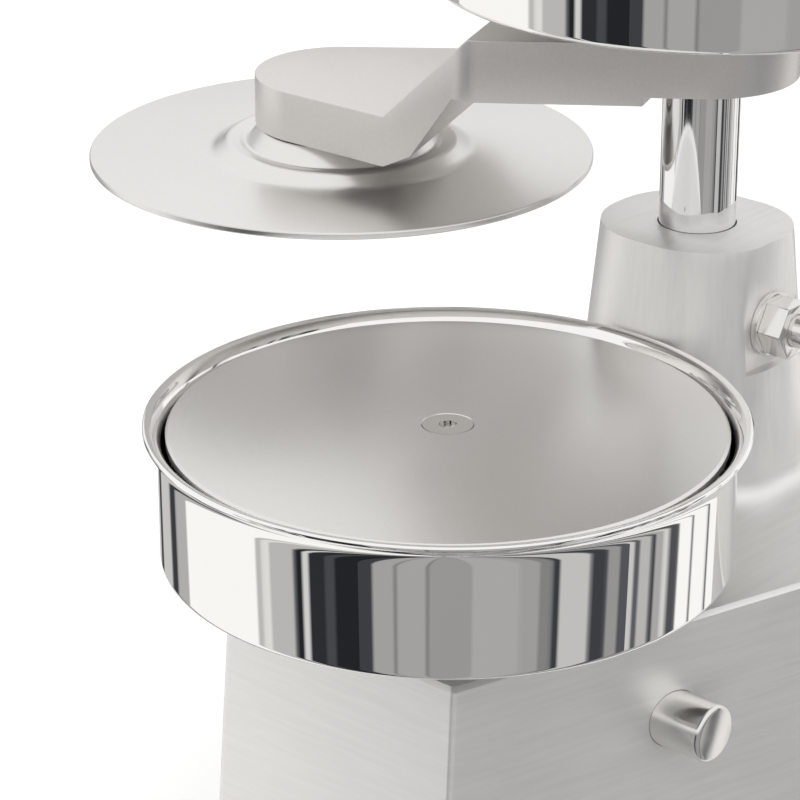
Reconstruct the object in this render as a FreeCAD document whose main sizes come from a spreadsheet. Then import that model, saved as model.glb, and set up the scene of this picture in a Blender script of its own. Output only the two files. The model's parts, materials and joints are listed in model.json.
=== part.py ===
"""Hand patty press: a parametric assembly with one object for every separate piece.

Lengths are in millimetres. +Z is up and z = 0 is the table. +Y runs from the mould to the column
behind it, and +X is the right-hand side for a person who stands in front of the mould.
The origin is the middle of the footprint box, so the mould's axis stands at (mould_x, mould_y).
"""
import FreeCAD, Part
import math
import os
import re
import Sketcher

SIZES = {
    # places
    "mould_x": 38.4, "mould_y": -83.14, "shaft_back": 94.0, "swing_angle": 69.4,
    # levels above the table
    "foot_height": 8.0, "plate_wall": 3.0, "deck_level": 112.5, "bowl_level": 122.4,
    "column_level": 178.0, "disc_level": 184.0, "arm_level": 193.0,
    "tray_level": 240.0,
    # casting, in plan
    "front_y": 36.5, "front_half": 33.5, "edge_radius": 1.5, "rear_y": 104.0,
    "rear_half": 27.4, "rear_radius": 46.0, "front_lean": 7.1, "side_lean": 1.8,
    "casting_wall": 6.0, "deck_wall": 7.0, "brow": 1.0, "boss_radius": 38.0, "slot_half": 11.0,
    "slot_low": 17.0, "slot_top": 98.0, "post_radius": 8.0, "post_front_x": 25.0,
    "post_front_y": -27.0, "post_rear_x": 54.0, "post_rear_y": 112.0,
    "guide_radius": 17.0, "guide_bottom": 103.0,
    # column
    "column_half_x": 23.5, "column_half_y": 21.5, "column_lean": 4.0, "column_corner": 20.0,
    "column_fillet": 8.0, "flat_x": 22.8, "flat_half": 11.0, "flat_bottom": 146.5,
    # bowl and paper tray
    "bowl_radius": 66.5, "bowl_wall": 1.5, "bowl_height": 33.6, "lip_radius": 69.8,
    "lip_height": 6.5, "lip_wall": 1.4, "floor_round": 1.6, "corner_round": 4.0,
    "screw_ring": 25.0, "bowl_screw": 2.5,
    # ejector
    "plate_radius": 64.6, "plate_level": 154.0, "plate_thick": 3.0, "skirt_height": 5.0,
    "skirt_wall": 4.0, "rod_radius": 5.0, "rod_bottom": 74.4, "collar_radius": 7.5,
    "collar_height": 6.0, "ejector_bush_radius": 8.0,
    # shaft and crosshead
    "shaft_radius": 9.5, "fit_gap": 0.05, "bush_radius": 12.5, "upper_bush_low": 162.5,
    "upper_bush_high": 174.0, "lower_bush_high": 130.0, "seat_radius": 7.5,
    "cross_top": 100.0, "cross_bottom": 64.0, "cross_half": 15.0, "cross_back": 13.0,
    "nose_half": 9.0, "nose_height": 10.0, "nose_front": 8.0, "link_level": 92.0,
    "link_radius": 4.5,
    # arm and disc
    "disc_radius": 64.0, "disc_wall": 1.8, "arm_thick": 12.9, "arm_rise": 23.8,
    "arm_upper_thick": 15.3, "hub_relief": 2.1, "arm_end_radius": 21.8, "hub_radius": 23.5,
    "knee_back": 47.0, "knee_out": 28.0, "knee_radius": 10.0, "fold_low": 23.0,
    "fold_high": 47.0, "spigot_height": 0.6,
    # lever
    "fulcrum_y": 20.5, "fulcrum_level": 88.0, "axle_radius": 7.0, "axle_half": 63.8,
    "sleeve_radius": 12.0, "lever_hub_radius": 15.5, "spacer_length": 16.0,
    "bar_inside": 16.5, "bar_wall": 8.0, "bar_low": 12.0, "bar_high": 14.0, "link_gap": 1.1,
    "link_travel": 6.4, "yoke_front": 128.0, "yoke_back": 140.0,
    "handle_radius": 7.0, "bend_radius": 32.0, "bend_y": 172.0, "grip_y": 224.0,
    "grip_rise": 104.0, "grip_radius": 13.0, "grip_length": 88.0,
    # friction stud on the column
    "stud_level": 157.0, "stud_radius": 4.0, "stud_end": 37.5,
}

doc = FreeCAD.newDocument("PattyPress")
sheet = doc.addObject("Spreadsheet::Sheet", "Sizes")
for row, (alias, value) in enumerate(SIZES.items(), start=1):
    sheet.set("A%d" % row, alias)
    sheet.set("B%d" % row, repr(value))
    sheet.setAlias("B%d" % row, alias)
sums = doc.addObject("Spreadsheet::Sheet", "Sums")
doc.recompute()

ALIAS = re.compile(r"\b(" + "|".join(sorted(SIZES, key=len, reverse=True)) + r")\b")
PIECES = []
FILLET_STEPS = 6


def bound(text):
    """An expression that reads the sheet, from one that names its aliases."""
    return ALIAS.sub(r"Sizes.\1", str(text))


def number(text):
    """The value of such an expression."""
    sums.set("A1", "=" + bound(text))
    sums.recompute()
    return float(sums.get("A1"))


# --- ways of making a piece ---------------------------------------------------------------------

def body(label, x="mould_x", y="mould_y", z="0", turn=None, tilt=None):
    """An empty body whose place follows the sheet; turn is about Z and tilt about X, in degrees."""
    piece = doc.addObject("PartDesign::Body", label)
    piece.Label = label
    piece.AllowCompound = True
    angle = turn or tilt or "0"
    axis = FreeCAD.Vector(1, 0, 0) if tilt else FreeCAD.Vector(0, 0, 1)
    place = FreeCAD.Vector(number(x), number(y), number(z))
    piece.Placement = FreeCAD.Placement(place, FreeCAD.Rotation(axis, number(angle)))
    piece.setExpression("Placement.Base.x", bound(x))
    piece.setExpression("Placement.Base.y", bound(y))
    piece.setExpression("Placement.Base.z", bound(z))
    PIECES.append(piece)
    return piece


def sketch(piece, plane, level="0"):
    """A sketch on one of the body's own origin planes, moved along the plane's normal by level."""
    drawn = piece.newObject("Sketcher::SketchObject", piece.Name + "_sketch")
    support = [item for item in piece.Origin.OriginFeatures if item.Role == plane][0]
    drawn.AttachmentSupport = [(support, "")]
    drawn.MapMode = "FlatFace"
    drawn.setExpression("AttachmentOffset.Base.z", bound(level))
    return drawn


def hold(drawn, kind, *where, value):
    """A constraint whose value follows the sheet."""
    index = drawn.addConstraint(Sketcher.Constraint(kind, *where, number(value)))
    drawn.setExpression("Constraints[%d]" % index, bound(value))


def pin_point(drawn, geometry, end, x, y):
    hold(drawn, "DistanceX", -1, 1, geometry, end, value=x)
    hold(drawn, "DistanceY", -1, 1, geometry, end, value=y)


def circle(drawn, x, y, radius):
    centre = FreeCAD.Vector(number(x), number(y), 0)
    ring = Part.Circle(centre, FreeCAD.Vector(0, 0, 1), number(radius))
    index = drawn.addGeometry(ring, False)
    hold(drawn, "Radius", index, value=radius)
    pin_point(drawn, index, 3, x, y)


def arc_between(start, end, radius):
    """The short arc from start to end, counter-clockwise where radius is positive."""
    chord = end - start
    middle = (start + end) * 0.5
    side = FreeCAD.Vector(-chord.y, chord.x, 0).normalize()
    rise = math.sqrt(radius ** 2 - (chord.Length / 2) ** 2)
    centre = middle + side * rise * math.copysign(1, radius)
    first, last = (start, end) if radius > 0 else (end, start)
    angles = [math.atan2(p.y - centre.y, p.x - centre.x) for p in (first, last)]
    ring = Part.Circle(centre, FreeCAD.Vector(0, 0, 1), abs(radius))
    return Part.ArcOfCircle(ring, angles[0], angles[1])


def profile(drawn, points):
    """A closed outline through points; a third value makes the next stretch an arc of that radius."""
    places = [FreeCAD.Vector(number(p[0]), number(p[1]), 0) for p in points]
    starts = []
    for index, point in enumerate(points):
        here, there = places[index], places[(index + 1) % len(points)]
        if len(point) == 3:
            radius = number(point[2])
            geometry = drawn.addGeometry(arc_between(here, there, radius), False)
            starts.append((geometry, 1, 2) if radius > 0 else (geometry, 2, 1))
        else:
            geometry = drawn.addGeometry(Part.LineSegment(here, there), False)
            starts.append((geometry, 1, 2))
    for index, point in enumerate(points):
        geometry, start, end = starts[index]
        following = starts[(index + 1) % len(points)]
        drawn.addConstraint(Sketcher.Constraint("Coincident", geometry, end, *following[:2]))
        pin_point(drawn, geometry, start, point[0], point[1])
        if len(point) == 3:
            hold(drawn, "Radius", geometry, value="abs(%s)" % point[2])


def box_outline(drawn, x_low, x_high, y_low, y_high):
    profile(drawn, [(x_low, y_low), (x_high, y_low), (x_high, y_high), (x_low, y_high)])


def hull(drawn, rings):
    """The outline drawn tight round rings of (x, y, radius), given counter-clockwise."""
    centres = [FreeCAD.Vector(number(x), number(y), 0) for x, y, _ in rings]
    radii = [number(radius) for _, _, radius in rings]
    count = len(rings)
    normals = []
    for index in range(count):
        after = (index + 1) % count
        along = centres[after] - centres[index]
        heading = math.atan2(along.y, along.x)
        normals.append(heading - math.acos((radii[index] - radii[after]) / along.Length))
    arcs = []
    lines = []
    for index in range(count):
        start, end = normals[index - 1], normals[index]
        while end < start:
            end += 2 * math.pi
        ring = Part.Circle(centres[index], FreeCAD.Vector(0, 0, 1), radii[index])
        arcs.append(drawn.addGeometry(Part.ArcOfCircle(ring, start, end), False))
    for index in range(count):
        after = (index + 1) % count
        outward = FreeCAD.Vector(math.cos(normals[index]), math.sin(normals[index]), 0)
        first = centres[index] + outward * radii[index]
        second = centres[after] + outward * radii[after]
        lines.append(drawn.addGeometry(Part.LineSegment(first, second), False))
    for index, (x, y, radius) in enumerate(rings):
        hold(drawn, "Radius", arcs[index], value=radius)
        pin_point(drawn, arcs[index], 3, x, y)
        after = (index + 1) % count
        drawn.addConstraint(Sketcher.Constraint("Tangent", arcs[index], 2, lines[index], 1))
        drawn.addConstraint(Sketcher.Constraint("Tangent", lines[index], 2, arcs[after], 1))


def volume(piece):
    doc.recompute()
    return piece.Shape.Volume if piece.Tip else 0.0


def add_feature(piece, kind, drawn, length, reverse, midplane, through):
    before = volume(piece)
    feature = piece.newObject("PartDesign::" + kind, piece.Name + "_" + kind.lower())
    feature.Profile = drawn
    feature.Midplane = midplane
    feature.Reversed = reverse
    if through:
        feature.Type = "ThroughAll"
    else:
        feature.setExpression("Length", bound(length))
    piece.Tip = feature
    change = volume(piece) - before
    if (change > 0) != (kind == "Pad"):
        raise RuntimeError("%s of %s changed nothing: %g" % (kind, piece.Label, change))
    return feature


def pad(piece, drawn, length, reverse=False, midplane=False):
    return add_feature(piece, "Pad", drawn, length, reverse, midplane, False)


def pocket(piece, drawn, length="1", reverse=False, midplane=False, through=False):
    return add_feature(piece, "Pocket", drawn, length, reverse, midplane, through)


def turn(piece, drawn, axis="V_Axis", kind="Revolution"):
    """A revolution, or a groove, about one of the sketch's own axes."""
    feature = piece.newObject("PartDesign::" + kind, piece.Name + "_turned")
    feature.Profile = drawn
    feature.ReferenceAxis = (drawn, [axis])
    feature.Angle = 360.0
    piece.Tip = feature
    doc.recompute()
    return feature


def loft(piece, lower, *upper):
    feature = piece.newObject("PartDesign::AdditiveLoft", piece.Name + "_loft")
    feature.Profile = lower
    feature.Sections = list(upper)
    feature.Ruled = True
    piece.Tip = feature
    doc.recompute()
    return feature


def turned(label, points, x="mould_x", y="mould_y", z="0", along="Z"):
    """A round piece: points are (radius, height), or (place along X, radius) where along is X."""
    piece = body(label, x, y, z)
    drawn = sketch(piece, "XZ_Plane")
    profile(drawn, points)
    turn(piece, drawn, "V_Axis" if along == "Z" else "H_Axis")
    return piece


def tube(label, inner, outer, low, high, **place):
    """A plain ring: low and high are along its own axis."""
    if place.get("along") == "X":
        points = [(low, inner), (high, inner), (high, outer), (low, outer)]
    else:
        points = [(inner, low), (outer, low), (outer, high), (inner, high)]
    return turned(label, points, **place)


def hexagon(drawn, across, x="0", y="0"):
    corners = []
    for corner in range(6):
        angle = "%d * 60deg" % corner
        reach = "(%s) / cos(30deg) / 2" % across
        corners.append(("%s + %s * cos(%s)" % (x, reach, angle),
                        "%s + %s * sin(%s)" % (y, reach, angle)))
    profile(drawn, corners)


def group(label, places, parts, x="mould_x", y="mould_y", z="0"):
    """Equal fasteners in one node: parts are (radius, low, high) of coaxial round lengths."""
    piece = body(label, x, y, z)
    for radius, low, high in parts:
        drawn = sketch(piece, "XY_Plane", low)
        for place_x, place_y in places:
            circle(drawn, place_x, place_y, radius)
        pad(piece, drawn, "%s - (%s)" % (high, low))
    return piece


# --- places that several pieces share -------------------------------------------------------------

SHAFT_Y = "mould_y + shaft_back"
DISC_X = "mould_x - shaft_back * sin(swing_angle * 1deg)"
DISC_Y = "mould_y + shaft_back - shaft_back * cos(swing_angle * 1deg)"
ARM_TURN = "270 - swing_angle"
ARM_TOP = "arm_level + arm_thick + arm_rise"
HUB_LOW = "arm_level + arm_thick + arm_rise - arm_upper_thick + hub_relief"
CASTING_LOW = "foot_height + plate_wall"
TILT = "atan2(grip_rise; grip_y - bend_y)"
POSTS = [("post_front_x", "post_front_y"), ("-post_front_x", "post_front_y"),
         ("post_rear_x", "post_rear_y"), ("-post_rear_x", "post_rear_y")]
BOWL_HOLES = [("screw_ring * cos(%ddeg)" % angle, "screw_ring * sin(%ddeg)" % angle)
              for angle in (90, 210, 330)]


# --- the casting and what is fixed to it ----------------------------------------------------------

def casting_outline(drawn, inset, lean="0"):
    """The casting's plan: a narrow square front, flared sides and a round back."""
    front_x = "front_half - %s + %s * side_lean / 7" % (inset, lean)
    front_y = "-(front_y - %s + %s * front_lean / 7)" % (inset, lean)
    rear_radius = "rear_radius - %s + %s * side_lean / 7" % (inset, lean)
    hull(drawn, [("-(%s)" % front_x, front_y, "edge_radius"),
                 (front_x, front_y, "edge_radius"),
                 ("rear_half", "rear_y", rear_radius),
                 ("-rear_half", "rear_y", rear_radius)])


def column_outline(drawn, lean):
    reach_x = "column_half_x - column_corner + %s" % lean
    reach_y = "column_half_y - column_corner + %s" % lean
    corners = [(-1, -1), (1, -1), (1, 1), (-1, 1)]
    hull(drawn, [("%d * (%s)" % (x, reach_x), "shaft_back + %d * (%s)" % (y, reach_y),
                  "column_corner") for x, y in corners])


def make_casting():
    piece = body("body_casting")
    lower = sketch(piece, "XY_Plane", CASTING_LOW)
    casting_outline(lower, "0", "7")
    upper = sketch(piece, "XY_Plane", "deck_level - brow")
    casting_outline(upper, "0")
    brow = sketch(piece, "XY_Plane", "deck_level")
    casting_outline(brow, "brow")
    loft(piece, lower, upper, brow)

    boss = sketch(piece, "XY_Plane", "deck_level - 1")
    circle(boss, "0", "0", "boss_radius")
    pad(piece, boss, "bowl_level - deck_level + 1")
    rings = []
    for step in range(FILLET_STEPS + 1):
        angle = "%d * 90deg / %d" % (FILLET_STEPS - step, FILLET_STEPS)
        ring = sketch(piece, "XY_Plane", "deck_level + column_fillet * (1 - sin(%s))" % angle)
        column_outline(ring, "column_lean + column_fillet * (1 - cos(%s))" % angle)
        rings.append(ring)
    head = sketch(piece, "XY_Plane", "column_level")
    column_outline(head, "0")
    loft(piece, *rings, head)

    hollow = sketch(piece, "XY_Plane", CASTING_LOW)
    casting_outline(hollow, "casting_wall")
    pocket(piece, hollow, "deck_level - deck_wall - (%s)" % CASTING_LOW, reverse=True)
    for x, y in POSTS:
        post = sketch(piece, "XY_Plane", CASTING_LOW)
        circle(post, x, y, "post_radius")
        pad(piece, post, "deck_level - deck_wall - (%s) + 1" % CASTING_LOW)
    guide = sketch(piece, "XY_Plane", "guide_bottom")
    circle(guide, "0", "shaft_back", "guide_radius")
    pad(piece, guide, "deck_level - 2 - guide_bottom")

    neck = sketch(piece, "XY_Plane", "column_level")
    circle(neck, "0", "shaft_back", "shaft_radius + 0.3")
    pocket(piece, neck, "column_level - upper_bush_high + 1")
    bore = sketch(piece, "XY_Plane", "upper_bush_high")
    circle(bore, "0", "shaft_back", "bush_radius")
    pocket(piece, bore, "upper_bush_high - guide_bottom + 1")
    ejector = sketch(piece, "XY_Plane", "bowl_level")
    circle(ejector, "0", "0", "ejector_bush_radius")
    pocket(piece, ejector, "bowl_level - deck_level + deck_wall + 1")
    for x, y in BOWL_HOLES:
        hole = sketch(piece, "XY_Plane", "bowl_level")
        circle(hole, x, y, "bowl_screw + 0.05")
        pocket(piece, hole, "12")
    for x, y in POSTS:
        hole = sketch(piece, "XY_Plane", CASTING_LOW)
        circle(hole, x, y, "bowl_screw + 0.05")
        pocket(piece, hole, "18", reverse=True)

    axle = sketch(piece, "YZ_Plane")
    circle(axle, "fulcrum_y", "fulcrum_level", "axle_radius + 0.1")
    pocket(piece, axle, "200", midplane=True)
    stud = sketch(piece, "YZ_Plane")
    circle(stud, "shaft_back", "stud_level", "stud_radius + 0.05")
    pocket(piece, stud, "column_half_x + column_lean", reverse=True)
    flat = sketch(piece, "YZ_Plane", "flat_x")
    box_outline(flat, "shaft_back - flat_half", "shaft_back + flat_half", "flat_bottom",
                "column_level + 1")
    pocket(piece, flat, "column_lean + 3", reverse=True)
    slot = sketch(piece, "XZ_Plane", "-(rear_y + rear_radius + 5)")
    box_outline(slot, "-slot_half", "slot_half", "slot_low", "slot_top")
    pocket(piece, slot, "casting_wall + 12", reverse=True)
    return piece


def make_base():
    plate = body("base_plate")
    drawn = sketch(plate, "XY_Plane", "foot_height")
    casting_outline(drawn, "0.5", "7")
    pad(plate, drawn, "plate_wall")
    for x, y in POSTS:
        hole = sketch(plate, "XY_Plane", "foot_height")
        circle(hole, x, y, "bowl_screw + 0.3")
        pocket(plate, hole, reverse=True, through=True)
    for name, (x, y) in zip(("front_right", "front_left", "rear_right", "rear_left"), POSTS):
        foot = turned("rubber_foot_" + name,
                      [("5.5", "4"), ("3", "4"), ("3", "foot_height"), ("13", "foot_height"),
                       ("11.5", "1"), ("10.5", "0"), ("5.5", "0")],
                      x="mould_x + " + x, y="mould_y + (%s)" % y)
        foot.Label = "rubber_foot_" + name
    group("foot_screws", POSTS, [("bowl_screw", "3.5", "25"), ("4.8", "1.2", "3.9")])


def make_column_parts():
    place = {"y": SHAFT_Y}
    inner = "shaft_radius + fit_gap"
    tube("upper_bush", inner, "bush_radius", "upper_bush_low", "upper_bush_high", **place)
    tube("lower_bush", inner, "bush_radius", "guide_bottom", "lower_bush_high", **place)
    place = {"y": SHAFT_Y, "z": "stud_level", "along": "X"}
    turned("friction_pad", [("shaft_radius + fit_gap", "0"), ("14", "0"), ("14", "3.9"),
                            ("shaft_radius + fit_gap + 0.9", "3.9")], **place)
    turned("friction_stud", [("14", "0"), ("stud_end", "0"), ("stud_end", "2.6"),
                             ("stud_end - 1.2", "stud_radius"), ("14", "stud_radius")], **place)
    tube("stud_washer", "stud_radius + 0.2", "8", "flat_x", "flat_x + 1.6", **place)
    nut = body("stud_nut", y=SHAFT_Y, z="stud_level")
    drawn = sketch(nut, "YZ_Plane", "flat_x + 1.6")
    hexagon(drawn, "13")
    circle(drawn, "0", "0", "stud_radius + 0.02")
    pad(nut, drawn, "6.5")


def make_fulcrum():
    place = {"y": "mould_y + fulcrum_y", "z": "fulcrum_level", "along": "X"}
    turned("fulcrum_axle", [("-axle_half", "0"), ("axle_half", "0"),
                            ("axle_half", "axle_radius - 1.2"),
                            ("axle_half - 1.2", "axle_radius"),
                            ("1.2 - axle_half", "axle_radius"),
                            ("-axle_half", "axle_radius - 1.2")], **place)
    spacers = body("axle_spacers", y="mould_y + fulcrum_y", z="fulcrum_level")
    for side in (1, -1):
        drawn = sketch(spacers, "YZ_Plane", "%d * (bar_inside + bar_wall + 0.3)" % side)
        circle(drawn, "0", "0", "axle_radius + 3")
        circle(drawn, "0", "0", "axle_radius + 0.1")
        pad(spacers, drawn, "spacer_length", reverse=side < 0)


# --- bowls ----------------------------------------------------------------------------------------

def bowl(label, hole, **place):
    """A spun bowl: flat floor, upright wall and a lip that flares outwards to a rounded edge."""
    flare = "((lip_radius - bowl_radius)^2 + (lip_height - 1)^2) / (2 * (lip_radius - bowl_radius))"
    inner = "bowl_radius - bowl_wall"
    return turned(label, [
        (hole, "0"),
        ("bowl_radius - floor_round", "0", "floor_round"),
        ("bowl_radius", "floor_round"),
        ("bowl_radius", "bowl_height - lip_height", "-(%s)" % flare),
        ("lip_radius", "bowl_height - 1", "0.8"),
        ("lip_radius - lip_wall", "bowl_height - 0.4", "%s + bowl_wall" % flare),
        (inner, "bowl_height - lip_height"),
        (inner, "bowl_wall + corner_round", "-corner_round"),
        ("%s - corner_round" % inner, "bowl_wall"),
        (hole, "bowl_wall"),
    ], **place)


def make_bowls():
    mould = bowl("mould_bowl", "ejector_bush_radius + 0.5", z="bowl_level")
    holes = sketch(mould, "XY_Plane")
    for x, y in BOWL_HOLES:
        circle(holes, x, y, "bowl_screw + 0.05")
    pocket(mould, holes, "bowl_wall + 1", reverse=True)
    floor = "bowl_level + bowl_wall"
    group("bowl_screws", BOWL_HOLES, [("bowl_screw", "%s - 11" % floor, floor),
                                      ("4.6", floor, "%s + 1.6" % floor)])
    bowl("paper_tray", "3.3", y=SHAFT_Y, z="tray_level")


# --- ejector --------------------------------------------------------------------------------------

def make_ejector():
    tube("ejector_bush", "rod_radius + fit_gap", "ejector_bush_radius",
         "deck_level - deck_wall", "bowl_level + bowl_wall")
    skirt = "plate_radius - skirt_wall"
    skirt_low = "plate_thick - skirt_height"
    plate = turned("ejector_plate", [
        ("3.3", "0"), (skirt, "0"), (skirt, skirt_low), ("plate_radius - 1.5", skirt_low),
        ("plate_radius", skirt_low + " + 2.5"), ("plate_radius", "plate_thick - 0.6"),
        ("plate_radius - 0.6", "plate_thick"), ("6.2", "plate_thick"), ("3.3", "0.4"),
    ], z="plate_level - plate_thick")
    plate.Label = "ejector_plate"
    rod_top = "plate_level - plate_thick"
    rod = turned("ejector_rod", [
        ("0", "rod_bottom"), ("rod_radius - 0.5", "rod_bottom"), ("rod_radius", "rod_bottom + 0.5"),
        ("rod_radius", rod_top), ("2.5", rod_top), ("2.5", rod_top + " - 15"),
        ("0", rod_top + " - 15")])
    rod.Label = "ejector_rod"
    tube("rod_collar", "rod_radius", "collar_radius", "rod_bottom + 1",
         "rod_bottom + 1 + collar_height")
    screw = turned("plate_screw", [
        ("0", "-12"), ("2.5", "-12"), ("2.5", "0"), ("3.0", "0"), ("3.0", "0.4"),
        ("5.9", "plate_thick - 0.1"), ("0", "plate_thick - 0.1")], z=rod_top)
    socket = sketch(screw, "XY_Plane", "plate_thick")
    hexagon(socket, "4")
    pocket(screw, socket, "2.2")


# --- shaft, crosshead and what turns with the arm -------------------------------------------------

def make_crosshead():
    cross = body("crosshead", y=SHAFT_Y)
    block = sketch(cross, "YZ_Plane")
    box_outline(block, "-cross_half", "cross_back", "cross_bottom", "cross_top")
    pad(cross, block, "2 * cross_half", midplane=True)
    nose = sketch(cross, "YZ_Plane")
    box_outline(nose, "-(shaft_back + nose_front)", "-cross_half + 1", "cross_bottom",
                "cross_bottom + nose_height")
    pad(cross, nose, "2 * nose_half", midplane=True)
    bore = sketch(cross, "XY_Plane", "cross_top")
    circle(bore, "0", "0", "seat_radius + 2.5")
    pocket(cross, bore, through=True)
    links = sketch(cross, "YZ_Plane")
    circle(links, "0", "link_level", "link_radius")
    pocket(cross, links, "40", midplane=True)
    tube("crosshead_bush", "seat_radius + fit_gap", "seat_radius + 2.5", "cross_bottom",
         "cross_top", y=SHAFT_Y)
    pins = body("link_pins", y=SHAFT_Y)
    for side in (1, -1):
        drawn = sketch(pins, "YZ_Plane", "%d * (seat_radius + 3.2)" % side)
        circle(drawn, "0", "link_level", "link_radius")
        pad(pins, drawn, "bar_inside + bar_wall + 1.5 - seat_radius - 3.2", reverse=side < 0)


def make_shaft():
    top = ARM_TOP
    turned("press_shaft", [
        ("0", "cross_bottom - 1.5"), ("seat_radius - 0.6", "cross_bottom - 1.5"),
        ("seat_radius", "cross_bottom - 0.9"), ("seat_radius", "cross_top + 0.3"),
        ("shaft_radius - 0.6", "cross_top + 0.3"), ("shaft_radius", "cross_top + 0.9"),
        ("shaft_radius", HUB_LOW), ("seat_radius", HUB_LOW), ("seat_radius", top),
        ("6", top), ("6", "tray_level"), ("2.5", "tray_level"), ("2.5", "tray_level - 16"),
        ("0", "tray_level - 16")], y=SHAFT_Y)
    low = "cross_bottom - 1.5"
    tube("end_washer", "3.2", "11", low + " - 1.6", low, y=SHAFT_Y)
    screw = body("end_screw", y=SHAFT_Y)
    head = sketch(screw, "XY_Plane", low + " - 1.6")
    hexagon(head, "10")
    pad(screw, head, "4", reverse=True)
    tube("hub_washer", "6.2", "12", top, top + " + 1.6", y=SHAFT_Y)
    nut = body("hub_nut", y=SHAFT_Y)
    drawn = sketch(nut, "XY_Plane", top + " + 1.6")
    hexagon(drawn, "18")
    circle(drawn, "0", "0", "6.02")
    pad(nut, drawn, "tray_level - (%s) - 2.2" % top)
    floor = "tray_level + bowl_wall"
    turned("tray_screw", [("0", "tray_level - 10"), ("2.5", "tray_level - 10"),
                          ("2.5", floor), ("6", floor), ("6", floor + " + 1.4"),
                          ("4.5", floor + " + 3.2"), ("0", floor + " + 3.2")], y=SHAFT_Y)


def make_arm():
    arm = body("press_arm", y=SHAFT_Y, turn=ARM_TURN)
    low, back, rise = "arm_level", "shaft_back", "arm_level + arm_thick"
    upper_low = ARM_TOP + " - arm_upper_thick"
    step = back + " - 87"
    end = back + " + 40"
    side = sketch(arm, "XZ_Plane")
    profile(side, [
        (end, low), (end, rise), (back + " - fold_low", rise), (back + " - fold_high", ARM_TOP),
        ("-40", ARM_TOP), ("-40", HUB_LOW), (step, HUB_LOW), (step, upper_low),
        (back + " - fold_high + 4", upper_low), (back + " - fold_low - 8", low + " + 4.3"),
        (back + " - fold_low", low)])
    pad(arm, side, "120", midplane=True)
    trim = sketch(arm, "XY_Plane", "arm_level - 5")
    knee = back + " - knee_back"
    box_outline(trim, "-60", back + " + 60", "-90", "90")
    hull(trim, [("0", "0", "hub_radius"), (knee, "-knee_out", "knee_radius"),
                (back, "0", "arm_end_radius"), (knee, "knee_out", "knee_radius")])
    pocket(arm, trim, "70", reverse=True)
    spigot = sketch(arm, "XY_Plane", "arm_level - spigot_height")
    circle(spigot, back, "0", "12")
    pad(arm, spigot, "spigot_height + 1")
    bore = sketch(arm, "XY_Plane", ARM_TOP)
    circle(bore, "0", "0", "seat_radius + fit_gap")
    pocket(arm, bore, through=True)
    relief = sketch(arm, "XY_Plane", HUB_LOW)
    circle(relief, "0", "0", "shaft_radius + 0.3")
    pocket(arm, relief, "10")
    tapped = sketch(arm, "XY_Plane", "arm_level - spigot_height")
    circle(tapped, back, "0", "4.05")
    pocket(arm, tapped, "10", reverse=True)
    return arm


def make_disc():
    top = "arm_level - spigot_height - disc_level"
    under = top + " - disc_wall"
    turned("press_disc", [
        ("4.3", under), ("19.4", under), ("22.8", "3"), ("24.4", "1.3"), ("28.2", "1.3"),
        ("30.6", "0"), ("disc_radius - 0.5", "0"), ("disc_radius", "0.5"),
        ("disc_radius", "disc_wall - 0.4"), ("disc_radius - 0.4", "disc_wall"),
        ("31.6", "disc_wall"), ("29.2", "disc_wall + 1.3"), ("25.6", "disc_wall + 1.3"),
        ("24.2", "disc_wall + 2.2"), ("20.8", top), ("4.3", top)],
        x=DISC_X, y=DISC_Y, z="disc_level")
    screw = turned("disc_screw", [
        ("0", under + " - 4.4"), ("5.6", under + " - 4.4"), ("6.6", under + " - 3.4"),
        ("6.6", under), ("4", under), ("4", top + " + 9"), ("0", top + " + 9")],
        x=DISC_X, y=DISC_Y, z="disc_level")
    socket = sketch(screw, "XY_Plane", under + " - 4.4")
    hexagon(socket, "5")
    pocket(screw, socket, "2.6", reverse=True)


# --- lever ----------------------------------------------------------------------------------------

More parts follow.
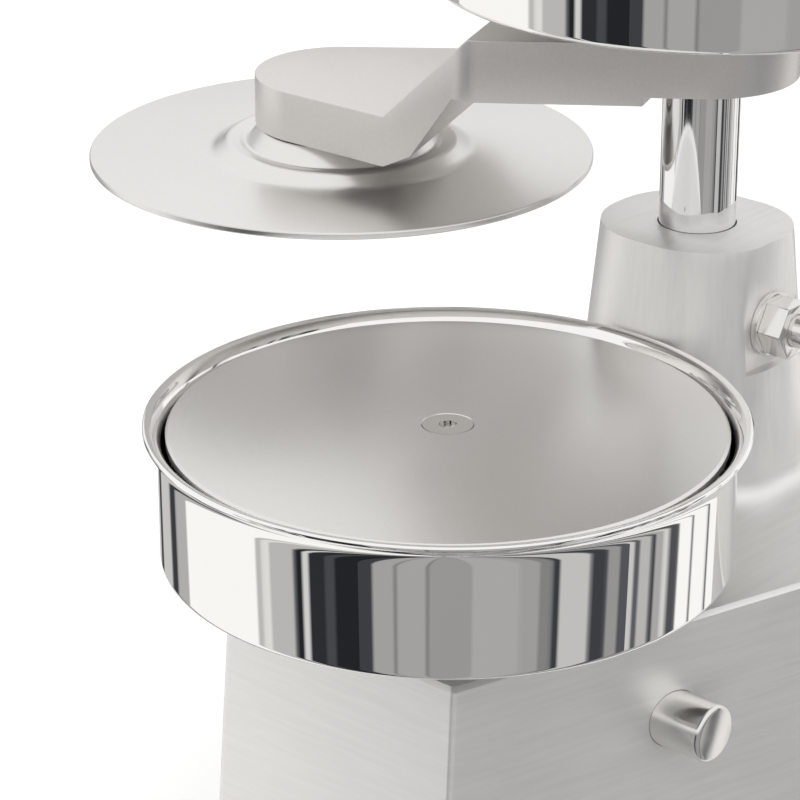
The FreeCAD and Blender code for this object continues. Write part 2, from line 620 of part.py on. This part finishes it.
def make_lever():
    place = {"y": "mould_y + fulcrum_y", "z": "fulcrum_level"}
    width = "2 * (bar_inside + bar_wall)"
    half = "bar_inside + bar_wall"
    tube("fulcrum_sleeve", "axle_radius + fit_gap", "sleeve_radius", "-(%s)" % half, half,
         along="X", **place)
    yoke = body("lever_yoke", **place)
    bars = sketch(yoke, "YZ_Plane")
    box_outline(bars, "0", "yoke_back - fulcrum_y", "-bar_low", "bar_high")
    pad(yoke, bars, width, midplane=True)
    eyes = sketch(yoke, "YZ_Plane")
    circle(eyes, "0", "0", "lever_hub_radius")
    pad(yoke, eyes, width, midplane=True)
    gap = sketch(yoke, "YZ_Plane")
    box_outline(gap, "-(lever_hub_radius + 1)", "yoke_front - fulcrum_y",
                "-(lever_hub_radius + 1)", "lever_hub_radius + 1")
    pocket(yoke, gap, "2 * bar_inside", midplane=True)
    bore = sketch(yoke, "YZ_Plane")
    circle(bore, "0", "0", "sleeve_radius + fit_gap")
    pocket(yoke, bore, width + " + 2", midplane=True)
    link = "link_level - fulcrum_level"
    slot = sketch(yoke, "YZ_Plane")
    hull(slot, [("shaft_back - fulcrum_y", link, "link_radius + link_gap"),
                ("shaft_back - fulcrum_y + link_travel", link, "link_radius + link_gap")])
    pocket(yoke, slot, width + " + 2", midplane=True)
    socket = sketch(yoke, "XZ_Plane", "-(yoke_back - fulcrum_y)")
    circle(socket, "0", "0", "handle_radius")
    pocket(yoke, socket, "yoke_back - yoke_front - 2", reverse=True)

    handle = body("lever_handle", **place)
    tilt = math.atan2(number("grip_rise"), number("grip_y - bend_y"))
    bend = number("bend_radius")
    reach = bend * math.tan(tilt / 2)
    start = FreeCAD.Vector(number("yoke_front - fulcrum_y + 2"), 0, 0)
    knee = FreeCAD.Vector(number("bend_y - fulcrum_y"), 0, 0)
    end = FreeCAD.Vector(number("grip_y - fulcrum_y"), number("grip_rise"), 0)
    upward = (end - knee).normalize()
    path = sketch(handle, "YZ_Plane")
    level = path.addGeometry(Part.LineSegment(start, knee - FreeCAD.Vector(reach, 0, 0)), False)
    ring = Part.Circle(FreeCAD.Vector(knee.x - reach, bend, 0), FreeCAD.Vector(0, 0, 1), bend)
    curve = path.addGeometry(Part.ArcOfCircle(ring, -math.pi / 2, tilt - math.pi / 2), False)
    rising = path.addGeometry(Part.LineSegment(knee + upward * reach, end), False)
    path.addConstraint(Sketcher.Constraint("Tangent", level, 2, curve, 1))
    path.addConstraint(Sketcher.Constraint("Tangent", curve, 2, rising, 1))
    path.addConstraint(Sketcher.Constraint("Horizontal", level))
    pin_point(path, level, 1, "yoke_front - fulcrum_y + 2", "0")
    pin_point(path, rising, 2, "grip_y - fulcrum_y", "grip_rise")
    hold(path, "Radius", curve, value="bend_radius")
    hold(path, "Angle", -1, 1, rising, 1, value=TILT)
    section = sketch(handle, "XZ_Plane", "-(yoke_front - fulcrum_y + 2)")
    circle(section, "0", "0", "handle_radius")
    pipe = handle.newObject("PartDesign::AdditivePipe", "handle_pipe")
    pipe.Profile = section
    pipe.Spine = (path, [])
    handle.Tip = pipe

    grip_y = "mould_y + grip_y"
    grip_z = "fulcrum_level + grip_rise"
    grip = body("lever_grip", y=grip_y, z=grip_z, tilt="%s - 90deg" % TILT)
    drawn = sketch(grip, "XZ_Plane")
    inner = "handle_radius + fit_gap"
    profile(drawn, [
        (inner, "-grip_length"), ("grip_radius - 2.5", "-grip_length"),
        ("grip_radius - 1", "2 - grip_length"), ("grip_radius", "-grip_length / 2"),
        ("grip_radius - 1", "3"), ("grip_radius - 4", "6"), ("0", "6.5"), ("0", "0.5"),
        (inner, "0.5")])
    turn(grip, drawn)


# --- the whole press ------------------------------------------------------------------------------

def write_steps():
    doc.recompute()
    for item in doc.Objects:
        if "Invalid" in item.State or "Error" in item.State:
            raise RuntimeError("%s failed: %s" % (item.Name, item.getStatusString()))
    os.makedirs("parts", exist_ok=True)
    for piece in PIECES:
        if piece.Shape.isNull() or not piece.Shape.isValid() or not piece.Shape.Solids:
            raise RuntimeError(piece.Label + " has no sound shape")
        piece.Shape.exportStep("parts/%s.step" % piece.Label)
        print("%-26s %9.0f mm3, %d solids" % (piece.Label, piece.Shape.Volume,
                                            len(piece.Shape.Solids)))


def build():
    make_casting()
    make_base()
    make_column_parts()
    make_fulcrum()
    make_bowls()
    make_ejector()
    make_crosshead()
    make_shaft()
    make_arm()
    make_disc()
    make_lever()
    write_steps()


build()
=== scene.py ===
import json
import math

import bmesh
import bpy
from mathutils import Matrix, Vector


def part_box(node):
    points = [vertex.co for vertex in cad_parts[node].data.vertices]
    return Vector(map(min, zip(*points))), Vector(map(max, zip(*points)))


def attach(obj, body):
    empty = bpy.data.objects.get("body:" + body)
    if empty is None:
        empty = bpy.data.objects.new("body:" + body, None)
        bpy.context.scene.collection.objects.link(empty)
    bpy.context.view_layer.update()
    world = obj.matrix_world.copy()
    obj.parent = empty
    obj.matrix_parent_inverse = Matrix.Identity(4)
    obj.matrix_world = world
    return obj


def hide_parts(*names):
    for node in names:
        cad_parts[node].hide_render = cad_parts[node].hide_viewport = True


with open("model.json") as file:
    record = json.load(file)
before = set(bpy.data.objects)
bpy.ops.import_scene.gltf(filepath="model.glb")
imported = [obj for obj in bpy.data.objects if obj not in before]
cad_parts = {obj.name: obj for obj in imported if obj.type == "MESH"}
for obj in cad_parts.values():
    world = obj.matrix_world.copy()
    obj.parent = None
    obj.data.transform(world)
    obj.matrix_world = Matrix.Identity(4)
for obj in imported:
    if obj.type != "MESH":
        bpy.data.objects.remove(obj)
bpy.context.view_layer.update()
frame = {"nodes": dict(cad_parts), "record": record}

NODES = frame["nodes"]
MM = 0.001
WHITE = (1.0, 1.0, 1.0, 1.0)


# --- places --------------------------------------------------------------------------------------

def middle(node):
    low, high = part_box(node)
    return (Vector(low) + Vector(high)) / 2


MOULD = middle("mould_bowl")
SHAFT = middle("press_shaft")
DISC = middle("press_disc")
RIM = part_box("mould_bowl")[1].z
BOWL_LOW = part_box("mould_bowl")[0].z
DISC_LOW, DISC_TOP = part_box("press_disc")[0].z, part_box("press_disc")[1].z
COLUMN_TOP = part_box("body_casting")[1].z


# --- finishes ------------------------------------------------------------------------------------

class Number:
    """A value in a material's node tree. Sums with it add the Math nodes they need."""

    def __init__(self, nodes, socket):
        self.nodes = nodes
        self.socket = socket

    def sum(self, operation, *terms):
        return self.nodes.add("ShaderNodeMath", {"operation": operation}, dict(enumerate(terms)))

    def __add__(self, other):
        return self.sum("ADD", self, other)

    def __sub__(self, other):
        return self.sum("SUBTRACT", self, other)

    def __rsub__(self, other):
        return self.sum("SUBTRACT", other, self)

    def __mul__(self, other):
        return self.sum("MULTIPLY", self, other)

    def __truediv__(self, other):
        return self.sum("DIVIDE", self, other)

    def __rtruediv__(self, other):
        return self.sum("DIVIDE", other, self)

    def __pow__(self, other):
        return self.sum("POWER", self, other)

    def __gt__(self, other):
        return self.sum("GREATER_THAN", self, other)

    __radd__ = __add__
    __rmul__ = __mul__

    def between(self, low, high):
        """0 below low, 1 above high and a smooth rise in between."""
        ramp = {"interpolation_type": "SMOOTHSTEP"}
        return self.nodes.add("ShaderNodeMapRange", ramp, {"Value": self, 1: low, 2: high})


class Nodes:
    """A node tree and the quick ways of adding to it. spot is the place that its textures use."""

    def __init__(self, tree, place):
        self.tree = tree
        self.spot = self.add("ShaderNodeTexCoord", out=place)

    def add(self, kind, settings=None, values=None, out=0):
        """Any node: its settings first, then the values or links of its sockets."""
        node = self.tree.nodes.new(kind)
        for name, setting in (settings or {}).items():
            if name == "stops":
                ramp = node.color_ramp
                while len(ramp.elements) < len(setting):
                    ramp.elements.new(1.0)
                for element, (place, shade) in zip(ramp.elements, setting):
                    element.position = place
                    element.color = (shade, shade, shade, 1.0)
            else:
                setattr(node, name, setting)
        for name, value in (values or {}).items():
            self.feed(node.inputs[name], value)
        return Number(self, node.outputs[out])

    def feed(self, socket, value):
        if isinstance(value, Number):
            self.tree.links.new(value.socket, socket)
        else:
            socket.default_value = value

    def noise(self, scale, stretch=(1, 1, 1), detail=2.0, roughness=0.5):
        """Noise with scale cells to the metre, times stretch along each axis."""
        place = self.add("ShaderNodeMapping", None, {"Vector": self.spot, "Scale": stretch})
        return self.add("ShaderNodeTexNoise", None, {
            "Vector": place, "Scale": scale, "Detail": detail, "Roughness": roughness})

    def axis(self, name, of=None):
        return self.add("ShaderNodeSeparateXYZ", None, {0: of or self.spot}, out=name)

    def mix(self, factor, first, second):
        return self.add("ShaderNodeMix", {"data_type": "RGBA"},
                        {"Factor": factor, 6: first, 7: second}, out=2)


class Look(Nodes):
    """A material: what is the same all over it is set first, and nodes vary the rest."""

    def __init__(self, name, colour, roughness, metallic=1.0, **fixed):
        self.material = bpy.data.materials.new(name)
        self.material.use_nodes = True
        super().__init__(self.material.node_tree, "Object")
        self.shader = self.tree.nodes["Principled BSDF"]
        self.colour = (*colour, 1.0)
        self.set("Base Color", self.colour)
        self.set("Roughness", roughness)
        self.set("Metallic", metallic)
        for socket, value in fixed.items():
            self.set(socket.replace("_", " "), value)

    def set(self, name, value):
        self.feed(self.shader.inputs[name], value)

    def facing(self, name):
        """How far the surface faces along X, Y or Z, from -1 to 1, on the piece itself."""
        normal = self.add("ShaderNodeNewGeometry", out="Normal")
        local = self.add("ShaderNodeVectorTransform", {
            "vector_type": "NORMAL", "convert_from": "WORLD", "convert_to": "OBJECT"},
            {"Vector": normal})
        return self.axis(name, local)

    def shade(self, amount):
        """The finish's own colour, darkened where amount is low: 1 leaves it as it is."""
        grey = self.add("ShaderNodeCombineXYZ", None, {"X": amount, "Y": amount, "Z": amount})
        return self.add("ShaderNodeVectorMath", {"operation": "MULTIPLY"},
                        {0: grey, 1: self.colour[:3]})

    def bump(self, height, distance, strength=1.0):
        self.set("Normal", self.add("ShaderNodeBump", None, {
            "Height": height, "Distance": distance, "Strength": strength}))

    def around(self, centre):
        """The angle about a vertical axis through centre, and the distance from it."""
        x = self.axis("X") - centre.x
        y = self.axis("Y") - centre.y
        return x.sum("ARCTAN2", y, x), (x * x + y * y) ** 0.5

    def rings(self, centre, scale, detail=2.0):
        """Fine turning marks round a vertical axis."""
        angle, radius = self.around(centre)
        spot = self.add("ShaderNodeCombineXYZ", None, {
            "X": radius * scale, "Y": angle * 1.5, "Z": self.axis("Z") * scale})
        return self.add("ShaderNodeTexNoise", None, {
            "Vector": spot, "Scale": 1.0, "Detail": detail})


def cast_aluminium():
    """Ground housing: level lines round the body, upright lines on the column, plain on top."""
    look = Look("cast_aluminium", (0.93, 0.92, 0.905), 0.42, metallic=0.8)
    level = look.noise(1.0, (45, 45, 900), 3.0, 0.6)
    upright = look.noise(1.0, (800, 800, 30), 3.0, 0.6)
    flat = look.noise(1.0, (700, 40, 40), detail=2.0)
    column_foot = (BOWL_LOW + COLUMN_TOP) / 2 - 26 * MM
    on_column = look.axis("Z").between(column_foot - 6 * MM, column_foot + 2 * MM)
    on_top = look.facing("Z").between(0.6, 0.9)
    sides = level + (upright - level) * on_column
    grain = sides + (flat - sides) * on_top
    cloud = look.noise(38.0, detail=3.0)
    # painted shade: upward faces off the column (the deck round the bowl) are darkened by 0.22,
    # standing in for the shade of the bowl and column over it
    painted_deck_shade = 0.22 * on_top * (1 - on_column)
    look.set("Base Color", look.shade(0.87 - painted_deck_shade + 0.07 * cloud + 0.14 * grain))
    look.set("Roughness", 0.33 + 0.14 * grain + 0.06 * cloud)
    look.bump(grain + cloud * 0.5, 0.03 * MM, 0.5)
    return look


def machined_aluminium():
    look = Look("machined_aluminium", (0.76, 0.742, 0.722), 0.38, metallic=0.88)
    grain = look.noise(1300.0, detail=3.0, roughness=0.6)
    cloud = look.noise(30.0, detail=3.0)
    look.set("Base Color", look.shade(0.87 + 0.06 * cloud + 0.14 * grain))
    look.set("Roughness", 0.32 + 0.12 * grain + 0.08 * cloud)
    look.bump(grain, 0.014 * MM, 0.5)
    return look


def polished_stainless():
    """A mirror with the faintest haze of polishing."""
    look = Look("polished_stainless", (0.95, 0.945, 0.935), 0.02)
    haze = look.noise(60.0, (1, 1, 0.3), detail=4.0)
    wave = look.noise(9.0, (1, 1, 0.25), detail=1.0)
    look.set("Base Color", look.shade(0.97 + 0.03 * haze))
    look.set("Roughness", 0.014 * haze)
    look.bump(wave, 0.05 * MM, 0.4)
    return look


def satin_stainless(name, centre, roughness=0.28):
    """Fine even satin, with turning marks that show only close up."""
    look = Look(name, (0.86, 0.85, 0.835), roughness)
    marks = look.rings(centre, 1100.0, detail=1.0)
    grain = look.noise(1300.0, detail=3.0, roughness=0.6)
    cloud = look.noise(26.0, detail=3.0)
    look.set("Base Color", look.shade(0.9 + 0.05 * cloud + 0.08 * grain))
    look.set("Roughness", roughness - 0.06 + 0.05 * marks + 0.06 * grain + 0.06 * cloud)
    look.bump(grain, 0.004 * MM, 0.5)
    return look


def bright(name, colour, roughness, scratch=0.0):
    """Plated, ground or turned metal, with wear in its gloss."""
    look = Look(name, colour, roughness)
    wear = look.noise(180.0, detail=4.0)
    lines = look.noise(1.0, (900, 900, 60), detail=2.0)
    look.set("Base Color", look.shade(0.94 + 0.06 * wear))
    look.set("Roughness", roughness * (0.6 + 0.8 * wear) + scratch * lines)
    look.bump(lines, 0.006 * MM, 0.3)
    return look


def cast_iron():
    look = Look("iron", (0.075, 0.077, 0.08), 0.6, metallic=0.35)
    sand = look.noise(900.0, detail=5.0, roughness=0.65)
    look.set("Base Color", look.shade(0.7 + 0.6 * sand))
    look.set("Roughness", 0.45 + 0.3 * sand)
    look.bump(sand, 0.25 * MM, 0.6)
    return look


def moulded(name, colour, roughness, grain, depth, coat=0.0):
    """Rubber, nylon and the grip's plastic."""
    look = Look(name, colour, roughness, metallic=0.0, Coat_Weight=coat)
    pores = look.noise(grain, detail=4.0)
    cloud = look.noise(45.0, detail=2.0)
    look.set("Base Color", look.shade(0.82 + 0.2 * cloud + 0.14 * pores))
    look.set("Roughness", roughness - 0.08 + 0.12 * pores + 0.06 * cloud)
    look.bump(pores, depth * MM, 0.5)
    return look


def dress(node, look):
    mesh = NODES[node].data
    mesh.materials.clear()
    mesh.materials.append(look.material)


# --- making pieces -------------------------------------------------------------------------------

SHARP_SHADING = math.radians(40)
SHARP_EDGE = math.radians(30)


def piece(name, mesh, body, look, node):
    """Puts a mesh in the scene in place of the named node."""
    mesh.polygons.foreach_set("use_smooth", [True] * len(mesh.polygons))
    mesh.set_sharp_from_angle(angle=SHARP_SHADING)
    mesh.materials.append(look.material)
    made = bpy.data.objects.new(name, mesh)
    bpy.context.scene.collection.objects.link(made)
    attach(made, body)
    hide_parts(node)


def arc(centre, radius, start, end, steps):
    """Points along an arc, from the angle start to end, in degrees."""
    x, y = centre
    turns = [math.radians(start + (end - start) * i / steps) for i in range(steps + 1)]
    return [(x + radius * math.cos(a), y + radius * math.sin(a)) for a in turns]


def rounded(points, steps=6):
    """A closed outline whose corners (x, y, radius) are rounded."""
    outline = []
    for i, (x, y, radius) in enumerate(points):
        here = Vector((x, y))
        if not radius:
            outline.append((x, y))
            continue
        before = (Vector(points[i - 1][:2]) - here).normalized()
        after = (Vector(points[(i + 1) % len(points)][:2]) - here).normalized()
        half = before.angle(after) / 2
        reach = radius / math.tan(half)
        centre = here + (before + after).normalized() * radius / math.sin(half)
        start = here + before * reach - centre
        end = here + after * reach - centre
        sweep = start.angle_signed(end)
        for k in range(steps + 1):
            turned = start.copy()
            turned.rotate(Matrix.Rotation(-sweep * k / steps, 2))
            outline.append(tuple(centre + turned))
    return outline


def spun(name, outline, centre, low, steps=256):
    """A closed outline of (radius, height) in millimetres, turned about a vertical axis."""
    mesh = bpy.data.meshes.new(name)
    points, faces = [], []
    count = len(outline)
    for i in range(steps):
        turn = 2 * math.pi * i / steps
        for radius, height in outline:
            points.append((centre.x + radius * MM * math.cos(turn),
                           centre.y + radius * MM * math.sin(turn), low + height * MM))
    for i in range(steps):
        here, there = i * count, (i + 1) % steps * count
        for k in range(count):
            n = (k + 1) % count
            faces.append((here + k, there + k, there + n, here + n))
    mesh.from_pydata(points, [], faces)
    shell = bmesh.new()
    shell.from_mesh(mesh)
    bmesh.ops.remove_doubles(shell, verts=shell.verts, dist=1e-6)
    bmesh.ops.recalc_face_normals(shell, faces=shell.faces)
    shell.to_mesh(mesh)
    shell.free()
    return mesh


def eased(node, width, steps=3):
    """A copy of a node's shape with its sharp edges rounded off by width millimetres."""
    shell = bmesh.new()
    shell.from_mesh(NODES[node].data)
    bmesh.ops.remove_doubles(shell, verts=shell.verts, dist=2e-6)
    bmesh.ops.dissolve_limit(shell, angle_limit=math.radians(0.4), verts=shell.verts,
                             edges=shell.edges)
    edges = [e for e in shell.edges if e.is_manifold and e.calc_face_angle(0) > SHARP_EDGE]
    bmesh.ops.bevel(shell, geom=edges, offset=width * MM, segments=steps, profile=0.5,
                    affect="EDGES", clamp_overlap=True, offset_type="OFFSET")
    mesh = bpy.data.meshes.new(node + "_eased")
    shell.to_mesh(mesh)
    shell.free()
    return mesh


# --- the press -----------------------------------------------------------------------------------

# The bowls, in millimetres
BOWL_WALL = 66.5        # outside radius of the upright wall
BOWL_THICK = 1.5
BOWL_CORNER = 1.6       # outside, where the wall meets the floor
LIP_START = 6.4         # how far below the top the lip starts to roll out
LIP_RISE = 5.4
MOULD_HOLE = 8.5        # radius of the hole in the mould's floor, round the ejector's rod
TRAY_HOLE = 3.3         # and of the one for the tray's screw


def make_bowl(node, hole, centre, body, look):
    """A spun bowl with an upright wall and a small lip that rolls outwards."""
    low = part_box(node)[0].z
    height = (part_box(node)[1].z - low) / MM
    lip = (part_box(node)[1].x - centre.x) / MM
    reach = lip - BOWL_WALL
    roll = (reach ** 2 + LIP_RISE ** 2) / (2 * reach)
    turn = math.degrees(math.asin(LIP_RISE / roll))
    middle_of_roll = (BOWL_WALL + roll, height - LIP_START)
    outside = arc(middle_of_roll, roll, 180, 180 - turn, 14)
    inside = arc(middle_of_roll, roll + BOWL_THICK, 180, 180 - turn + 9, 14)[::-1]
    points = ([(hole, 0, 0), (BOWL_WALL, 0, BOWL_CORNER)] + [(x, y, 0) for x, y in outside]
              + [(lip + 0.1, height - 0.05, 0.55)] + [(x, y, 0) for x, y in inside]
              + [(BOWL_WALL - BOWL_THICK, BOWL_THICK, 4.0), (hole, BOWL_THICK, 0)])
    mesh = spun(node + "_spun", rounded(points, 8), centre, low, 384)
    piece(node + "_spun", mesh, body, look, node)


def make_axle(look):
    """The fulcrum's pin, with softly rounded ends."""
    low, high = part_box("fulcrum_axle")
    radius, length = (high.z - low.z) / 2 / MM, (high.x - low.x) / MM
    outline = rounded([(0, 0, 0), (radius, 0, 1.1), (radius, length, 1.1), (0, length, 0)])
    mesh = spun("fulcrum_axle_turned", outline, Vector((0, 0, 0)), 0, 128)
    mesh.transform(Matrix.Translation((low.x, (low.y + high.y) / 2, (low.z + high.z) / 2))
                   @ Matrix.Rotation(math.pi / 2, 4, "Y"))
    piece("fulcrum_axle_turned", mesh, "housing", look, "fulcrum_axle")


def make_disc(look):
    """The disc with its pressed-up centre: a soft foot ring, a dip and a cone."""
    top = (DISC_TOP - DISC_LOW) / MM
    rim = (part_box("press_disc")[1].x - DISC.x) / MM
    upper = [(rim, 1.3, 0.45), (rim - 0.2, 1.8, 0.3), (33.0, 1.8, 5.0), (29.0, 4.9, 2.6),
             (25.9, 4.6, 1.0), (24.3, 3.9, 0.8), (20.9, top, 0.4), (4.3, top, 0)]
    lower = [(4.3, 6.6, 0), (19.4, 6.6, 0.6), (22.9, 2.4, 0.8), (26.0, 3.1, 1.0),
             (28.4, 3.1, 1.5), (32.2, 0.0, 3.0), (rim, 0.0, 0.45)]
    outline = rounded(upper + lower)
    mesh = spun("press_disc_spun", outline, DISC, DISC_LOW)
    piece("press_disc_spun", mesh, "swing", look, "press_disc")


# node: how far its edges are rounded off in millimetres, and the body that it rides on
EASED = {
    "body_casting": (0.3, "housing"), "press_arm": (0.45, "swing"), "stud_nut": (0.35, "housing"),
    "friction_stud": (0.5, "housing"), "hub_nut": (0.35, "swing"),
    "stud_washer": (0.25, "housing"), "lever_grip": (1.6, "lever"),
}


# --- the studio ----------------------------------------------------------------------------------

CAMERA_TURN = 41.37     # degrees about Z, from straight in front of the mould
CAMERA_DOWN = 22.92
CAMERA_PLACE = Vector((444.59, -521.36, 293.71)) * MM     # from the middle of the mould's rim
CAMERA_LENS = 146.7
# What stands round the table, in turn: light panels and dark flags, each with its brightness and
# the angle at which it ends. Angles are in degrees from the camera's own side, from -180 to 180.
PANELS = [
    (0.60, -166), (0.06, -160), (0.58, -145), (0.05, -138), (0.45, -127), (1.00, -82),
    (0.52, -79), (0.76, -75), (0.50, -63.5), (0.02, -60), (0.66, -57), (0.03, -50),
    (0.07, -46), (0.02, -36), (0.055, -30), (0.38, -22), (0.12, -21), (0.39, -8.5),
    (0.10, -7.5), (0.33, 9), (0.41, 28), (0.36, 36), (0.24, 41), (0.05, 44.5),
    (0.56, 57.5), (0.055, 65), (0.32, 71), (0.10, 75.5), (0.60, 78), (0.12, 81),
    (0.50, 87), (0.05, 89.5), (0.42, 94), (0.70, 97), (0.09, 103), (1.00, 111.5),
    (0.15, 113), (1.00, 124), (0.05, 126), (1.00, 146), (0.60, 180)]
PANEL_EDGE = 0.4
RAMP_PANELS = 14
COOL, WARM = (0.88, 0.95, 1.08, 1.0), (1.0, 0.985, 0.965, 1.0)
CEILING = (0.97, 0.965, 0.955, 1.0)
CEILING_STARTS, CEILING_FULL = 0.02, 0.36     # upward part of a ray's direction


def panel_ring(sky, turn):
    """Brightness by angle. One colour ramp holds few stops, so several follow one another."""
    bright, first = None, 0
    while first < len(PANELS):
        part = PANELS[first:first + RAMP_PANELS]
        stops = []
        for (shade, end), following in zip(part, part[1:]):
            stops += [(end - PANEL_EDGE, shade), (end + PANEL_EDGE, following[0])]
        stops = [((angle + 180) / 360, shade) for angle, shade in stops]
        ramp = sky.add("ShaderNodeValToRGB", {"stops": stops}, {"Fac": turn})
        start = (PANELS[first - 1][1] + 180) / 360 if first else 0
        bright = bright + (ramp - bright) * (turn > start) if first else ramp
        first += RAMP_PANELS
    return bright


def make_world():
    world = bpy.data.worlds.new("studio")
    bpy.context.scene.world = world
    world.use_nodes = True
    tree = world.node_tree
    sky = Nodes(tree, "Generated")
    x, y, z = (sky.axis(name) for name in "XYZ")
    turn = x.sum("ARCTAN2", x, -1.0 * y) / (2 * math.pi) - CAMERA_TURN / 360
    turn = turn.sum("FRACT", turn + 0.5)
    bright = panel_ring(sky, turn)
    tint = sky.mix(bright.between(0.0, 0.3), COOL, WARM)
    grey = sky.add("ShaderNodeCombineXYZ", None, {"X": bright, "Y": bright, "Z": bright})
    ring = sky.add("ShaderNodeVectorMath", {"operation": "MULTIPLY"}, {0: grey, 1: tint})
    ceiling = z.between(CEILING_STARTS, CEILING_FULL)
    glossy = sky.mix(ceiling, ring, CEILING)
    rays = sky.add("ShaderNodeLightPath", out="Is Glossy Ray")
    shown = sky.mix(rays, WHITE, glossy)
    backdrop = tree.nodes["Background"]
    sky.feed(backdrop.inputs["Color"], shown)
    backdrop.inputs["Strength"].default_value = 1.0


def make_floor():
    look = Look("pale_floor", (0.93, 0.93, 0.93), 0.6, metallic=0.0)
    speckle = look.noise(60.0, detail=3.0)
    look.set("Base Color", look.shade(0.99 + 0.01 * speckle))
    mesh = bpy.data.meshes.new("floor")
    size = 4.0
    corners = [(-size, -size, 0), (size, -size, 0), (size, size, 0), (-size, size, 0)]
    mesh.from_pydata(corners, [], [(0, 1, 2, 3)])
    mesh.materials.append(look.material)
    floor = bpy.data.objects.new("floor", mesh)
    bpy.context.scene.collection.objects.link(floor)
    floor.visible_glossy = False


def make_light(name, place, size, power, aim):
    """An area light that lights the press but isn't seen in its polished faces."""
    lamp = bpy.data.lights.new(name, "AREA")
    lamp.shape = "RECTANGLE"
    lamp.size, lamp.size_y = size
    lamp.energy = power
    light = bpy.data.objects.new(name, lamp)
    light.location = place
    light.rotation_euler = (aim - Vector(place)).to_track_quat("-Z", "Y").to_euler()
    light.visible_glossy = False
    bpy.context.scene.collection.objects.link(light)


def make_camera():
    turn = math.radians(CAMERA_TURN)
    right = Vector((math.cos(turn), math.sin(turn), 0))
    spot = Vector((MOULD.x, MOULD.y, RIM)) + CAMERA_PLACE
    down = math.radians(CAMERA_DOWN)
    ahead = Vector((-math.sin(turn) * math.cos(down), math.cos(turn) * math.cos(down),
                    -math.sin(down)))
    up = right.cross(ahead)
    lens = bpy.data.cameras.new("camera")
    lens.lens = CAMERA_LENS
    lens.sensor_width = 36.0
    lens.clip_start, lens.clip_end = 0.01, 20.0
    camera = bpy.data.objects.new("camera", lens)
    camera.matrix_world = Matrix((
        (right.x, up.x, -ahead.x, spot.x), (right.y, up.y, -ahead.y, spot.y),
        (right.z, up.z, -ahead.z, spot.z), (0, 0, 0, 1)))
    bpy.context.scene.collection.objects.link(camera)
    bpy.context.scene.camera = camera


def dress_press():
    looks = {
        "cast_aluminium": cast_aluminium(),
        "machined_aluminium": machined_aluminium(),
        "polished_stainless": polished_stainless(),
        "polished_shaft": bright("polished_shaft", (0.9, 0.9, 0.9), 0.05),
        "bright_steel": bright("bright_steel", (0.84, 0.83, 0.81), 0.14),
        "plain_steel": bright("plain_steel", (0.5, 0.5, 0.5), 0.34, scratch=0.1),
        "bronze": bright("bronze", (0.66, 0.46, 0.22), 0.3, scratch=0.1),
        "iron": cast_iron(),
        "nylon": moulded("nylon", (0.82, 0.80, 0.74), 0.45, 1500.0, 0.02),
        "black_rubber": moulded("black_rubber", (0.022, 0.022, 0.023), 0.7, 1800.0, 0.06),
        "black_grip": moulded("black_grip", (0.014, 0.014, 0.015), 0.34, 1200.0, 0.03, coat=0.25),
    }
    slots = {row["node"]: row["material_slot"] for row in frame["record"]["subparts"]}
    own = {
        "ejector_plate": satin_stainless("plate_stainless", MOULD),
        "base_plate": satin_stainless("base_stainless", SHAFT, 0.35),
    }
    for node in NODES:
        look = own.get(node) or looks.get(slots[node])
        if node in EASED:
            width, body = EASED[node]
            piece(node + "_eased", eased(node, width), body, look, node)
        elif node not in ("press_disc", "mould_bowl", "paper_tray", "fulcrum_axle"):
            dress(node, look)
    make_bowl("mould_bowl", MOULD_HOLE, MOULD, "housing", looks["polished_stainless"])
    make_bowl("paper_tray", TRAY_HOLE, SHAFT, "swing", looks["polished_stainless"])
    make_disc(satin_stainless("disc_stainless", DISC))
    make_axle(looks["bright_steel"])


dress_press()
make_world()
make_floor()
make_light("overhead", (-0.6, -0.5, 2.4), (3.0, 3.0), 30.0, Vector((0, 0, 0.15)))
make_camera()
bpy.context.scene.view_settings.view_transform = "Standard"
